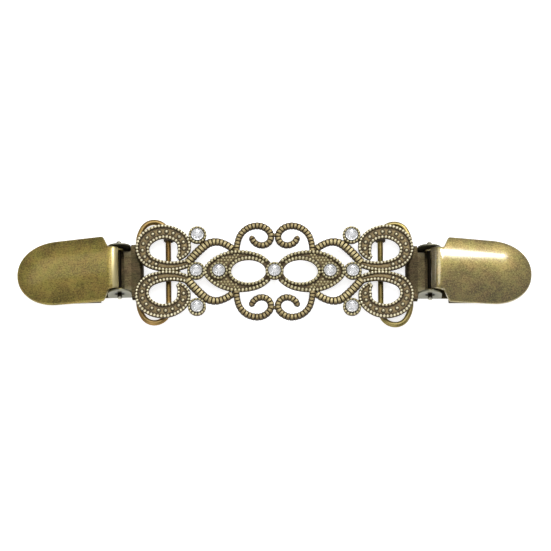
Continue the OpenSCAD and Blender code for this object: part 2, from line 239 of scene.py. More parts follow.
def loops(points, close_ends=True):
    """A tube through rows of points, each row closed on itself, with both ends drawn together
    to the middle of the end row. Without closed ends, the last row joins the first."""
    if close_ends:
        ends = [np.broadcast_to(row.mean(0), row.shape)[None] for row in (points[0], points[-1])]
        points = np.concatenate([ends[0], points, ends[1]])
    n, m = points.shape[:2]
    i, j = np.meshgrid(np.arange(n - 1 if close_ends else n), np.arange(m), indexing="ij")
    i2, j2 = (i + 1) % n, (j + 1) % m
    quads = np.stack([i * m + j, i * m + j2, i2 * m + j2, i2 * m + j], 2).reshape(-1, 4)
    return points.reshape(-1, 3), quads


def tube_field(values):
    """The values of a field on the same grid as loops, with each end row's given twice."""
    return np.concatenate([values[:1], values, values[-1:]]).reshape(-1)


def joined(parts):
    """One set of points, faces and values of wear and painted light out of several."""
    points, faces, worn, start = [], [], [], 0
    for p, f, w in parts:
        points.append(p)
        faces.append(f + start)
        worn.append(w)
        start += len(p)
    return np.concatenate(points), np.concatenate(faces), np.concatenate(worn)


def beads(centres, headings, size, low=0.1):
    """Bead shells: the points of each are size * (cos rise cos turn, cos rise sin turn, sin rise),
    turned to its heading. A bead is worn bright on top and stays at low at its foot."""
    turn, rise = np.meshgrid(
        np.arange(BEAD_SIDES) * math.tau / BEAD_SIDES,
        np.linspace(-0.5, 0.5, BEAD_TIERS + 1) * math.pi, indexing="ij")
    ball = np.stack([np.cos(rise) * np.cos(turn), np.cos(rise) * np.sin(turn), np.sin(rise)], 2)
    ball = ball.reshape(-1, 3)
    size = np.broadcast_to(size, (len(centres), 3))
    local = ball[None] * size[:, None]
    c, s = np.cos(headings)[:, None], np.sin(headings)[:, None]
    x = local[..., 0] * c - local[..., 1] * s
    y = local[..., 0] * s + local[..., 1] * c
    points = centres[:, None] + np.stack([x, y, local[..., 2]], 2)
    i, j = np.meshgrid(np.arange(BEAD_SIDES), np.arange(BEAD_TIERS), indexing="ij")
    here, beyond = i * (BEAD_TIERS + 1) + j, (i + 1) % BEAD_SIDES * (BEAD_TIERS + 1) + j
    one = np.stack([here, beyond, beyond + 1, here + 1], 2).reshape(-1, 4)
    quads = (one[None] + np.arange(len(centres))[:, None, None] * len(ball)).reshape(-1, 4)
    shine = low + (1 - low) * np.clip(ball[:, 2] * 1.3 + 0.4, 0, 1)
    worn = np.broadcast_to(shine, (len(centres), len(ball)))
    return points.reshape(-1, 3), quads, worn.reshape(-1)


def dulled(part, share):
    """A part with its values of wear and painted light brought down to a share of them."""
    points, faces, worn = part
    return points, faces, worn * share


def piece(name, parts, body, finish, stands_for=(), mirror=(1, 1), sharp=50):
    """A mesh object from parts of points, faces and values of wear and painted light. Its doubles
    are merged and its faces are turned outward. mirror flips it across the middle planes, and
    edges that turn by more than sharp degrees stay crisp."""
    points, faces, worn = joined(parts)
    points = points * np.array([*mirror, 1])
    if mirror[0] * mirror[1] < 0:
        faces = faces[:, ::-1]
    mesh = bpy.data.meshes.new(name)
    mesh.from_pydata(points * MM, [], faces)
    # worn holds real wear and patina, and on some parts painted highlights and painted shade as well.
    mesh.attributes.new("worn", "FLOAT", "POINT").data.foreach_set("value", worn.astype(np.float32))
    shell = bmesh.new()
    shell.from_mesh(mesh)
    bmesh.ops.remove_doubles(shell, verts=shell.verts, dist=1e-6)
    bmesh.ops.dissolve_degenerate(shell, edges=shell.edges, dist=1e-7)
    bmesh.ops.recalc_face_normals(shell, faces=shell.faces)
    shell.to_mesh(mesh)
    shell.free()
    mesh.shade_smooth()
    mesh.set_sharp_from_angle(angle=math.radians(sharp))
    for one in finish if isinstance(finish, (list, tuple)) else [finish]:
        mesh.materials.append(one)
    thing = bpy.data.objects.new(name, mesh)
    bpy.context.scene.collection.objects.link(thing)
    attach(thing, body)
    if stands_for:
        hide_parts(*stands_for)
    return thing


casting_finish, wire = new_finish("blackened_casting")
place = wire.node("TexCoord", out=3)
worn = wire.node("Attribute", {"attribute_name": "worn"}, out=2)
cloudy = wire.node("TexNoise", Vector=place, Scale=700.0, Detail=4.0, Roughness=0.6)
grainy = wire.node("TexNoise", Vector=place, Scale=2600.0, Detail=3.0, Roughness=0.7)
polish = (worn + (cloudy - 0.5) * 0.35 + (grainy - 0.5) * 0.5).clamped()
brassy = polish.node("ValToRGB", {"stops": [
    (0.0, rgb(30, 22, 10)),
    (0.2, rgb(72, 58, 36)),
    (0.46, rgb(130, 114, 78)),
    (0.72, rgb(184, 173, 130)),
    (1.0, rgb(242, 234, 202))]}, Fac=polish)
pits = wire.node("Bump", Strength=0.35, Distance=0.00005, Height=grainy)
surface(
    wire, Base_Color=brassy, Metallic=(0.35 + 0.65 * polish).clamped(),
    Roughness=0.62 - 0.32 * polish, Normal=pits)

comma_run = arc_run(COMMA_ARCS, SCROLL_FOOT, COMMA_HEADING, COMMA_WIDTH, 0.25)
# Columns: share of the half width, millimetres beyond it, height, how far worn.
COMMA_SECTION = np.array([
    (1, 0.30, BACK_Z, 0.20),
    (1, 0.46, BACK_Z + 0.15, 0.20),
    (1, 0.50, 4.00, 0.12),
    (1, 0.48, 4.32, 0.12),
    (1, 0.34, 4.52, 0.22),
    (1, 0.00, 4.62, 0.36),
    (1, -0.34, 4.50, 0.20),
    (1, -0.50, 4.26, 0.12),
    (0.55, -0.30, 4.24, 0.35),
    (0.2, -0.05, 4.29, 0.40)])
other_half = COMMA_SECTION[::-1] * np.array([-1, -1, 1, 1])
comma_section = np.concatenate([COMMA_SECTION, other_half])
half = comma_run[:, 3:4] / 2
side = comma_section[:, 0] * half + comma_section[:, 1]
first_half = np.arange(len(comma_section)) < len(COMMA_SECTION)
side = np.where(first_half, np.maximum(side, 0.01), np.minimum(side, -0.01))
comma_points, comma_faces = loops(beside(comma_run, side, comma_section[:, 2]))
comma_worn = tube_field(np.broadcast_to(comma_section[:, 3], side.shape))

parts = [(comma_points, comma_faces, comma_worn)]
for edge in (1, -1):
    rail = comma_run.copy()
    rail[:, :2] = beside(comma_run, edge * half, 0)[:, 0, :2]
    steps = np.hypot(*np.diff(rail[:, :2], axis=0).T)
    rail[:, 4] = np.concatenate([[0], np.cumsum(steps)])
    count = round(rail[-1, 4] / RIM_BEAD_PITCH)
    row = at_lengths(rail, (np.arange(count) + 0.5) * rail[-1, 4] / count)
    centres = np.column_stack([row[:, :2], np.full(count, RIM_BEAD_Z)])
    parts.append(beads(centres, row[:, 2], RIM_BEAD))
grain_lengths = np.arange(FIRST_GRAIN, comma_run[-1, 4] - LAST_GRAIN, FLOOR_GRAIN_PITCH)
row = at_lengths(comma_run, grain_lengths)
centres = np.column_stack([row[:, :2], np.full(len(row), FLOOR_GRAIN_Z)])
parts.append(dulled(beads(centres, row[:, 2], FLOOR_GRAIN, low=0.0), 0.9))
# Painted shade: a dark disc round each grain's foot.
parts.append(dulled(beads(centres - (0, 0, GRAIN_SHADE_SINK), row[:, 2], GRAIN_SHADE), 0.1))
for tag, flip in CORNERS.items():
    piece(f"comma_scroll_{tag}", parts, "panel", casting_finish, ["filigree"], flip)


# Ribbed bands and spirals
# From each comma a broad ribbed band swings in to the middle, and a narrower ribbed wire
# curls into a spiral. Both are cast with cross ribs like bound wire, dark between the ribs.

RIB_PITCH, BAND_CREST, SPIRAL_CREST = 1.12, 0.6, 0.53
BAND_HEADING, BAND_WIDTH = 127, 2.6
BAND_ARCS = [(36, 12, 2.6), (5.2, 59.5, 2.15), (9.6, 23.5, 2.15)]
SPIRAL_FOOT, SPIRAL_HEADING, SPIRAL_WIDTH = (11.4, 6.1), 89, 1.9
SPIRAL_ARCS = [(13.24, 18, 1.9), (5.88, 74, 2.05), (4.42, 55, 2), (2.71, 124, 1.9), (3.22, 84, 1.85)]


def ribbed(run, pitch, crest, round_end):
    """A band with cross ribs. Along its length s, rib rises from 0 to 1 as the root of how far
    |sin(pi s / pitch)| has come from 0.16 to 0.5. Across its width y, from -1 to 1, it stands
    above the ground by rib times (1 - |y| to the power 2.2) to the power 0.42. crest is how
    bright the ribs are worn. A round end narrows as a half circle."""
    count = round(run[-1, 4] / pitch)
    wave = np.abs(np.sin(math.pi * run[:, 4] * count / run[-1, 4]))
    rib = np.clip((wave - 0.16) / 0.34, 0, 1) ** 0.5
    wide = run[:, 3] / 2 * (0.87 + 0.13 * rib)
    if round_end:
        near = np.clip((run[-1, 4] - run[:, 4]) / (run[-1, 3] / 2), 0, 1)
        wide = wide * np.sqrt(np.clip(1 - (1 - near) ** 2, 0.0004, 1))
        rib = np.where(near < 1, 0.9, rib)
    across = np.linspace(-1, 1, 13)
    crown = (1 - np.minimum(np.abs(across), 0.999) ** 2.2) ** 0.42
    top_side = wide[:, None] * across
    top_z = GROUND_Z - 0.12 + (0.14 + 0.46 * rib[:, None]) * crown
    top_worn = -0.06 + rib[:, None] ** 2.4 * (0.06 + crest * (1 - np.abs(across) ** 3) ** 0.8)
    under = np.array([1, 1, 0.85, -0.85, -1, -1])
    under_z = np.array([BACK_Z + 0.7, BACK_Z + 0.15, BACK_Z, BACK_Z, BACK_Z + 0.15, BACK_Z + 0.7])
    under_worn = np.array([0.1, 0.08, 0.18, 0.18, 0.08, 0.1])
    side = np.concatenate([top_side, wide[:, None] * under], 1)
    height = np.concatenate([top_z, np.broadcast_to(under_z, (len(run), len(under)))], 1)
    worn = np.concatenate([top_worn, np.broadcast_to(under_worn, (len(run), len(under)))], 1)
    points, faces = loops(beside(run, -side, height))
    return points, faces, tube_field(worn)


band_run = arc_run(BAND_ARCS, SCROLL_FOOT, BAND_HEADING, BAND_WIDTH, RIB_PITCH / 10)
spiral_run = arc_run(SPIRAL_ARCS, SPIRAL_FOOT, SPIRAL_HEADING, SPIRAL_WIDTH, RIB_PITCH / 10)
band_parts = [ribbed(band_run, RIB_PITCH, BAND_CREST, False)]
spiral_parts = [ribbed(spiral_run, RIB_PITCH, SPIRAL_CREST, True)]
# Blobs of metal where the bands meet. Columns: x, y, height, half sizes along x, y and z.
SEAMS = np.array([
    (12.1, 7.0, 3.95, 0.95, 0.8, 0.5),
    (26.0, 2.3, 3.9, 1.1, 1.15, 0.5),
    (25.6, 9.3, 3.9, 0.6, 0.6, 0.45),
    (21.9, 8.7, 3.9, 0.7, 0.7, 0.45)])
band_parts.append(dulled(beads(SEAMS[:, :3], np.zeros(len(SEAMS)), SEAMS[:, 3:]), 0.3))
for tag, flip in CORNERS.items():
    piece(f"ribbed_band_{tag}", band_parts, "panel", casting_finish, ["filigree"], flip)
    piece(f"spiral_{tag}", spiral_parts, "panel", casting_finish, ["filigree"], flip)
# The spirals touch on the middle line, and so do the commas, where drops of metal join them.
SPIRALS_MEET = np.array([[0, 11.4, 4.0], [0, -11.4, 4.0]])
COMMAS_MEET = np.array([[31.3, 0, 3.95], [-31.3, 0, 3.95]])
solder = [
    dulled(beads(SPIRALS_MEET, np.zeros(2), (0.75, 0.62, 0.5), low=0.05), 0.4),
    dulled(beads(COMMAS_MEET, np.zeros(2), (3.4, 0.4, 0.5), low=0.02), 0.4)]
piece("solder_joints", solder, "panel", casting_finish, ["filigree"])


# Almonds
# Two almond-shaped frames, cast with the rest, meet under the middle stone. Each has a beaded
# outer edge, a beaded oval window and, around its inner stone, a dark floor strewn with grains.

WINDOW_X, WINDOW_A, WINDOW_B = 7.8, 5.7, 4.1
INNER_STONE_X = 16.7
EDGE_BEAD, EDGE_BEAD_PITCH = (0.5, 0.6, 0.4), 1.14
WINDOW_BEAD, WINDOW_BEAD_PITCH = (0.48, 0.56, 0.4), 1.08
ALMOND_BEAD_Z, WAIST_GAP = 4.62, 0.3
WINDOW_BEADS_FROM = -4.6  # no beads beyond this, where the middle stone's cup stands
NET_X, NET_STEP, NET_ROW, NET_REACH = 14, 0.98, 0.85, 9
NET_GRAIN, NET_GRAIN_Z = (0.42, 0.42, 0.3), 4.2
CLEAR_OF_EDGE, CLEAR_OF_WINDOW, CLEAR_OF_CUP = 1.05, 1.0, 2.95
ALMOND_FOOT, ALMOND_HEADING = (20.85, 0), 91.5
ALMOND_ARCS = [(3.2, 40.5, 0), (12, 45, 0), (17.5, 19, 0), (9, 33, 0)]

almond_run = arc_run(ALMOND_ARCS, ALMOND_FOOT, ALMOND_HEADING, 0, 0.1)
outline_x, outline_y = almond_run[:, 0], almond_run[:, 1]
outline_turn = np.arctan2(outline_y, outline_x - WINDOW_X)
outline_reach = np.hypot(outline_x - WINDOW_X, outline_y)


def almond_reach(turn):
    """Distance from the window's middle to the outer bead row, straight across at the waist."""
    turn = np.abs((turn + math.pi) % math.tau - math.pi)
    waist = (WINDOW_X - outline_x[-1]) / np.maximum(-np.cos(turn), 0.05)
    return np.where(turn > outline_turn[-1], waist, np.interp(turn, outline_turn, outline_reach))


def window_reach(turn):
    """Distance from the window's middle to its bead row, an ellipse: a b over the root of
    (b cos turn) squared + (a sin turn) squared."""
    return WINDOW_A * WINDOW_B / np.hypot(WINDOW_B * np.cos(turn), WINDOW_A * np.sin(turn))


# Columns: 0 for the outer row or 1 for the window's, millimetres inward, height, how far worn.
ALMOND_SECTION = np.array([
    (0, -0.35, BACK_Z, 0.20),
    (0, -0.52, BACK_Z + 0.15, 0.20),
    (0, -0.55, 4.05, 0.12),
    (0, -0.48, 4.35, 0.14),
    (0, -0.30, 4.52, 0.24),
    (0, 0.00, 4.58, 0.22),
    (0, 0.40, 4.44, 0.16),
    (0, 0.66, 4.20, 0.14),
    (0, 1.20, 4.20, 0.30),
    (1, 1.20, 4.20, 0.30),
    (1, 0.66, 4.20, 0.14),
    (1, 0.40, 4.44, 0.16),
    (1, 0.00, 4.58, 0.22),
    (1, -0.30, 4.52, 0.24),
    (1, -0.48, 4.35, 0.14),
    (1, -0.52, BACK_Z + 0.15, 0.20),
    (1, -0.35, BACK_Z, 0.20)])
turn = np.linspace(0, math.tau, 220, endpoint=False)[:, None]
outer, inner = almond_reach(turn), window_reach(turn)
middle = (outer + inner) / 2
from_outer = ALMOND_SECTION[:, 0] == 0
# Where the two rows are close, neither flank passes the line midway between them.
inward = ALMOND_SECTION[:, 1]
flank = inward > 0.2
reach = np.where(
    from_outer,
    np.maximum(outer - inward, np.where(flank, middle + 0.01, 0)),
    np.minimum(inner + inward, np.where(flank, middle - 0.01, 99)))
height = np.broadcast_to(ALMOND_SECTION[:, 2], reach.shape)
points = np.stack([WINDOW_X + reach * np.cos(turn), reach * np.sin(turn), height], 2)
almond_points, almond_faces = loops(points, close_ends=False)
almond_worn = np.broadcast_to(ALMOND_SECTION[:, 3], reach.shape).reshape(-1)
almond_parts = [(almond_points, almond_faces, almond_worn)]

edge_run = almond_run[almond_run[:, 4] < almond_run[-1, 4] - WAIST_GAP]
count = round(edge_run[-1, 4] / EDGE_BEAD_PITCH)
row = at_lengths(edge_run, (np.arange(count) + 0.5) * edge_run[-1, 4] / count)
for up in (1, -1):
    centres = np.column_stack([row[:, 0], up * row[:, 1], np.full(count, ALMOND_BEAD_Z)])
    almond_parts.append(dulled(beads(centres, up * row[:, 2], EDGE_BEAD), 0.8))
window_turn = np.linspace(0, math.tau, 2000)
window_x, window_y = WINDOW_A * np.cos(window_turn), WINDOW_B * np.sin(window_turn)
window_s = np.concatenate([[0], np.cumsum(np.hypot(np.diff(window_x), np.diff(window_y)))])
count = round(window_s[-1] / WINDOW_BEAD_PITCH)
at = (np.arange(count) + 0.5) * window_s[-1] / count
x, y = np.interp(at, window_s, window_x), np.interp(at, window_s, window_y)
heading = np.arctan2(WINDOW_B * x / WINDOW_A, -WINDOW_A * y / WINDOW_B)
centres = np.column_stack([x + WINDOW_X, y, np.full(count, ALMOND_BEAD_Z)])
off_stone = x > WINDOW_BEADS_FROM
almond_parts.append(dulled(beads(centres[off_stone], heading[off_stone], WINDOW_BEAD), 0.8))

# Grains on a hexagonal net, kept clear of both bead rows and the inner stone's cup.
net = np.arange(-NET_REACH, NET_REACH + 1)
i, j = np.meshgrid(net, net, indexing="ij")
gx, gy = (NET_X + i * NET_STEP + (j % 2) * NET_STEP / 2).ravel(), (j * NET_ROW).ravel()
grain_turn, grain_reach = np.arctan2(gy, gx - WINDOW_X), np.hypot(gx - WINDOW_X, gy)
clear = (
    (grain_reach < almond_reach(grain_turn) - CLEAR_OF_EDGE)
    & (grain_reach > window_reach(grain_turn) + CLEAR_OF_WINDOW)
    & (np.hypot(gx - INNER_STONE_X, gy) > CLEAR_OF_CUP))
centres = np.column_stack([gx[clear], gy[clear], np.full(clear.sum(), NET_GRAIN_Z)])
almond_parts.append(dulled(beads(centres, np.zeros(clear.sum()), NET_GRAIN, low=0.3), 0.7))
piece("almond_right", almond_parts, "panel", casting_finish, ["filigree"])
piece("almond_left", almond_parts, "panel", casting_finish, ["filigree"], (-1, 1))


# Stone cups
# Nine round cups stand on the casting, each a plain wall crowned with a ring of beads that
# are pushed over the stone's edge.

CUP_R, CUP_BORE = 2.75, 1.95
CUP_BEAD, CUP_BEADS, CUP_BEADS_R, CUP_BEADS_Z = (0.42, 0.47, 0.38), 15, 2.36, 4.94
MID_STONE_X, CORNER_STONE_X, CORNER_STONE_Y = 23.5, 23.2, 11.3
STONE_PLACES = {
    "centre": (0, 0),
    "inner_left": (-INNER_STONE_X, 0), "inner_right": (INNER_STONE_X, 0),
    "mid_left": (-MID_STONE_X, 0), "mid_right": (MID_STONE_X, 0),
    "top_left": (-CORNER_STONE_X, CORNER_STONE_Y), "top_right": (CORNER_STONE_X, CORNER_STONE_Y),
    "bottom_left": (-CORNER_STONE_X, -CORNER_STONE_Y),
    "bottom_right": (CORNER_STONE_X, -CORNER_STONE_Y)}


def turned(profile, segments=48):
    """A closed profile of radius, height and worn, turned about the Z axis: the points are
    (radius cos turn, radius sin turn, height)."""
    turn = np.arange(segments)[:, None] * math.tau / segments
    radius, height = profile[:, 0], np.broadcast_to(profile[:, 1], (segments, len(profile)))
    points = np.stack([radius * np.cos(turn), radius * np.sin(turn), height], 2)
    flat, faces = loops(points, close_ends=False)
    return flat, faces, np.broadcast_to(profile[:, 2], height.shape).reshape(-1)


# Columns: radius, height, how far worn.
CUP_SECTION = np.array([
    (0.0, BACK_Z, 0.2),
    (2.4, BACK_Z, 0.15),
    (2.65, BACK_Z + 0.15, 0.2),
    (CUP_R, 4.2, 0.22),
    (CUP_R, 4.6, 0.25),
    (2.64, 4.84, 0.2),
    (2.4, 4.92, 0.12),
    (2.05, 4.9, 0.05),
    (CUP_BORE, 4.7, 0.05),
    (CUP_BORE, 4.4, 0.0),
    (0.0, 4.3, 0.0)])
cup_wall = turned(CUP_SECTION)
bead_turn = np.arange(CUP_BEADS) * math.tau / CUP_BEADS
bead_ring = np.column_stack([
    CUP_BEADS_R * np.cos(bead_turn), CUP_BEADS_R * np.sin(bead_turn), np.full(CUP_BEADS, CUP_BEADS_Z)])
cup_beads = dulled(beads(bead_ring, bead_turn, CUP_BEAD, low=0.05), 0.78)
for tag, (x, y) in STONE_PLACES.items():
    there = np.array([x, y, 0])
    cup = [(p + there, f, w) for p, f, w in (cup_wall, cup_beads)]
    piece(f"stone_cup_{tag}", cup, "panel", casting_finish, ["filigree"])


# Stones
# Each is a round cut glass stone of the kind glued into costume jewels: a flat table, a ring
# of facets down to the girdle, and a foiled point below that throws the light back. The foil
# also glows faintly, a painted light.

STONE_R, TABLE_R = 1.88, 1.02
STONE_TOP, GIRDLE_TOP, GIRDLE_LOW, POINT_Z = 6.3, 5.42, 5.22, 4.36

glass_finish, wire = new_finish("cut_glass")
surface(wire, Base_Color=(1, 1, 1, 1), Roughness=0.02, IOR=1.56, Transmission_Weight=1.0)
foil_finish, wire = new_finish("silver_foil")
place = wire.node("TexCoord", out=3)
tarnish = wire.node("TexNoise", Vector=place, Scale=900.0, Detail=2.0)
# The foil is given a faint glow of its own: painted light.
surface(
    wire, Base_Color=tarnish.mix((0.8, 0.81, 0.84, 1), (1, 1, 1, 1)), Metallic=1.0,
    Roughness=0.14, Emission_Color=(1, 1, 1, 1), Emission_Strength=0.1)


def ring_of(radius, height, count, shift):
    """Corners evenly spaced on a circle, the first at shift steps round: (radius cos turn,
    radius sin turn, height)."""
    turn = (np.arange(count) + shift) * math.tau / count
    return np.column_stack([radius * np.cos(turn), radius * np.sin(turn), np.full(count, height)])


def cut_stone():
    """Facet corners in rings: table 8, crown 8 half a step on, girdle 16 twice, pavilion 8, point.
    Faces are triangles: table fan, stars, bezels and girdle facets, then the pavilion."""
    rings = [
        ring_of(TABLE_R, STONE_TOP, 8, 0), ring_of(1.5, 5.98, 8, 0.5),
        ring_of(STONE_R, GIRDLE_TOP, 16, 0), ring_of(STONE_R, GIRDLE_LOW, 16, 0),
        ring_of(1.0, 4.82, 8, 0.5), np.array([[0, 0, STONE_TOP]]), np.array([[0, 0, POINT_Z]])]
    t, c, g, h, p, top, low = np.cumsum([0] + [len(r) for r in rings[:-1]])
    k = np.arange(8)
    n, a, b, d = (k + 1) % 8, 2 * k, 2 * k + 1, (2 * k + 2) % 16
    crown = [
        (top + 0 * k, t + k, t + n), (t + k, c + k, t + n),
        (t + k, g + a, c + k), (g + a, g + b, c + k), (g + b, g + d, c + k), (c + k, g + d, t + n)]
    belt = [(g + a, h + a, h + b), (g + a, h + b, g + b), (g + b, h + b, h + d), (g + b, h + d, g + d)]
    pavilion = [
        (h + a, p + k, h + b), (h + b, p + k, h + d),
        (p + k, p + n, h + d), (p + k, low + 0 * k, p + n)]
    faces = [np.stack(f, 1) for f in crown + belt + pavilion]
    return np.concatenate(rings), np.concatenate(faces)


stone_points, stone_faces = cut_stone()
for tag, (x, y) in STONE_PLACES.items():
    there = np.array([x, y, 0])
    part = (stone_points + there, stone_faces, np.ones(len(stone_points)))
    stone = piece(
        f"stone_{tag}_cut", [part], "panel", [glass_finish, foil_finish], [f"stone_{tag}"],
        sharp=1)
    middles = np.empty(3 * len(stone.data.polygons), np.float32)
    stone.data.polygons.foreach_get("center", middles)
    foiled = middles[2::3] < GIRDLE_TOP * MM
    stone.data.polygons.foreach_set("material_index", foiled.astype(np.int32))


# Hooks behind the panel
# Four hooks, cast with the panel, stand behind the outer commas and are bent round the bars of
# the rings.

HOOK_X, HOOK_Y, HOOK_W, BAR_Z = 31.9, 10.1, 1.6, 1.6
HOOK_BORE, HOOK_R = 1.1, 1.6
STEM_Z = 3.3


def about_bar(part, x, z):
    """Lays a part made about the Z axis about a bar along Y at x, z: its points x, y, z go to
    x + bar x, z, y + bar z."""
    p, f, w = part
    return np.column_stack([p[:, 0] + x, p[:, 2], p[:, 1] + z]), f[:, ::-1], w


# Columns: radius, place along the bar, how far worn.
HOOK_SECTION = np.array([
    (HOOK_BORE, HOOK_Y + 0.1, 0.1),
    (HOOK_BORE + 0.1, HOOK_Y, 0.2),
    (HOOK_R - 0.15, HOOK_Y, 0.3),
    (HOOK_R, HOOK_Y + 0.15, 0.35),
    (HOOK_R, HOOK_Y + HOOK_W - 0.15, 0.35),
    (HOOK_R - 0.15, HOOK_Y + HOOK_W, 0.3),
    (HOOK_BORE + 0.1, HOOK_Y + HOOK_W, 0.2),
    (HOOK_BORE, HOOK_Y + HOOK_W - 0.1, 0.1)])
stem = np.array([[HOOK_X, HOOK_Y + HOOK_W / 2, STEM_Z]])
# The hooks are dulled dark: painted shade under the panel.
hook_parts = [
    dulled(about_bar(turned(HOOK_SECTION, 40), HOOK_X, BAR_Z), 0.35),
    dulled(beads(stem, np.zeros(1), (1.2, HOOK_W / 2, 0.4)), 0.35)]
for tag, flip in CORNERS.items():
    piece(f"hook_{tag}", hook_parts, "panel", casting_finish, ["filigree"], flip)


# Rings
# Two loops of round brass wire, bent to a long shape and closed, join the panel to the clips.
# The left one has stayed warmer in colour, and the right one is more olive.

WIRE_R, RING_SPAN, RING_HALF = 0.85, 8.95, 15.85
CORNER_R, NOSE_R, SWEEP_R = 4.3, 3.9, 9.0
RING_TURN, CLIP_TURN = math.radians(1), math.radians(0.8)
RING_SLIDE, CLIP_SLIDE, RIGHT_SLIDE = 0.5, 0.1, -0.15
WIRE_SIDES, BAR_POINTS, HIDDEN_BAR = 20, 12, 9


def turned_about(points, x, angle):
    """Turns points about a line along Z through x, 0: their distances dx, y from it become
    dx cos - y sin, dx sin + y cos."""
    dx, y = points[:, 0] - x, points[:, 1]
    c, s = math.cos(angle), math.sin(angle)
    return np.column_stack([x + dx * c - y * s, dx * s + y * c, points[:, 2]])


def on_left(part, on_clip):
    """Puts a right-hand part on the left, mirrored and turned as it lies in its loose hooks."""
    p, f, w = part
    p = p * np.array([-1, 1, 1])
    if on_clip:
        p = turned_about(p, -HOOK_X - RING_SPAN, CLIP_TURN) + np.array([0, CLIP_SLIDE, 0])
    return turned_about(p, -HOOK_X, RING_TURN) + np.array([0, RING_SLIDE, 0]), f[:, ::-1], w


def brass_finish(name, deep, plain, bright, roughness, speck=0.5, brushed=0.0, lacquer=0.0):
    """Aged brass: broad clouds of tone, fine specks, brush marks along it, redder and greener
    patches, a bright tone where worn is high, from edge wear and painted highlights, a
    dark tone where it is near 0, from dirt and painted shade, and a share of clear lacquer over all."""
    material, wire = new_finish(name)
    place = wire.node("TexCoord", out=3)
    worn = wire.node("Attribute", {"attribute_name": "worn"}, out=2)
    broad = wire.node("TexNoise", Vector=place, Scale=170.0, Detail=3.0, Roughness=0.55)
    fine = wire.node("TexNoise", Vector=place, Scale=2500.0, Detail=2.0, Roughness=0.8)
    drawn_out = wire.node("VectorMath", {"operation": "MULTIPLY"}, i0=place, i1=(0.22, 1.0, 1.0))
    brush = wire.node("TexNoise", Vector=drawn_out, Scale=3200.0, Detail=2.0, Roughness=0.6)
    streaks = (brush - 0.5) * 2.4 * brushed
    tone = ((broad - 0.5) * 1.6 + (fine - 0.5) * 2.8 * speck + streaks + 0.5).clamped()
    patchy = wire.node("TexNoise", Vector=place, Scale=330.0, Detail=2.0)
    patches = ((patchy - 0.5) * 3.0 + 0.5).clamped()
    patina = patches.mix((0.95, 1.03, 0.93, 1), (1.05, 0.975, 1.0, 1))
    plain_tone = tone.mix((*deep, 1), (*plain, 1))
    base = wire.node("VectorMath", {"operation": "MULTIPLY"}, i0=plain_tone, i1=patina)
    # Bright where the field is high, edge wear with painted highlights; dark where it is near 0, dirt
    # with painted shade.
    wear_and_sheen = ((worn - 0.5) * 2.0).clamped()
    grime_and_shade = (1.0 - worn * 5.0).clamped()
    colour = grime_and_shade.mix(wear_and_sheen.mix(base, (*bright, 1)), (*(channel * 0.3 for channel in deep), 1))
    dents = wire.node("Bump", Strength=0.25, Distance=0.00004, Height=fine)
    surface(
        wire, Base_Color=colour, Metallic=0.95, Coat_Weight=lacquer, Coat_Roughness=0.12,
        Coat_IOR=1.75, Roughness=roughness + 0.25 * (fine - 0.5) + 0.12 * (broad - 0.5),
        Normal=dents)
    return material


def wire_loop(slide=0.0):
    """A round tube along a lopsided oval. Each bend's points are centre + radius * (cos, sin) of
    the angle of the oval's normal: a sweep from the bar in the hem, a tighter nose and a corner
    to the bar in the hooks, and the same mirrored at the other end. The bar behind the panel is
    painted dark, a painted shadow of the panel, and all along, the wire is painted lighter on top
    and darker underneath, a painted highlight and painted shade."""
    half_span = RING_SPAN / 2
    tip_x = CORNER_R - half_span
    sweep = math.acos((SWEEP_R + CORNER_R - RING_SPAN) / (SWEEP_R - NOSE_R))
    hem_half = RING_HALF - NOSE_R - (SWEEP_R - NOSE_R) * math.sin(sweep)
    bends = [
        (half_span - SWEEP_R, hem_half, SWEEP_R, np.linspace(0, sweep, 10)),
        (tip_x, RING_HALF - NOSE_R, NOSE_R, np.linspace(sweep, math.pi / 2, 13)[1:]),
        (tip_x, RING_HALF - CORNER_R, CORNER_R, np.linspace(math.pi / 2, math.pi, 17)[1:])]
    end_x = np.concatenate([centre + radius * np.cos(angle) for centre, _, radius, angle in bends])
    end_y = np.concatenate([centre + radius * np.sin(angle) for _, centre, radius, angle in bends])
    end_out = np.concatenate([angle for *_, angle in bends])
    bar = np.linspace(-1, 1, BAR_POINTS + 2)[1:-1]
    side_x, side_out = np.full(BAR_POINTS, half_span), np.zeros(BAR_POINTS)
    x = np.concatenate([side_x, end_x, -side_x, end_x[::-1]])
    y = np.concatenate([bar * hem_half, end_y, -bar * (RING_HALF - CORNER_R), -end_y[::-1]])
    out = np.concatenate([side_out, end_out, side_out + math.pi, math.tau - end_out[::-1]])
    turn = np.arange(WIRE_SIDES) * math.tau / WIRE_SIDES
    reach = WIRE_R * np.cos(turn)
    points = np.stack([
        (x + HOOK_X + half_span)[:, None] + reach * np.cos(out)[:, None],
        (y + slide)[:, None] + reach * np.sin(out)[:, None],
        np.broadcast_to(BAR_Z + WIRE_R * np.sin(turn), (len(x), WIRE_SIDES))], 2)
    flat, faces = loops(points, close_ends=False)
    # Painted shadow: the bar behind the panel is darkened.
    hidden = (x < 0.2 - half_span) & (np.abs(y) < HIDDEN_BAR)
    # Painted highlight along the wire's top and painted shade along its underside.
    worn = np.where(hidden, 0.22, 1)[:, None] * (0.38 + 0.28 * np.sin(turn))
    return flat, faces, worn.reshape(-1)


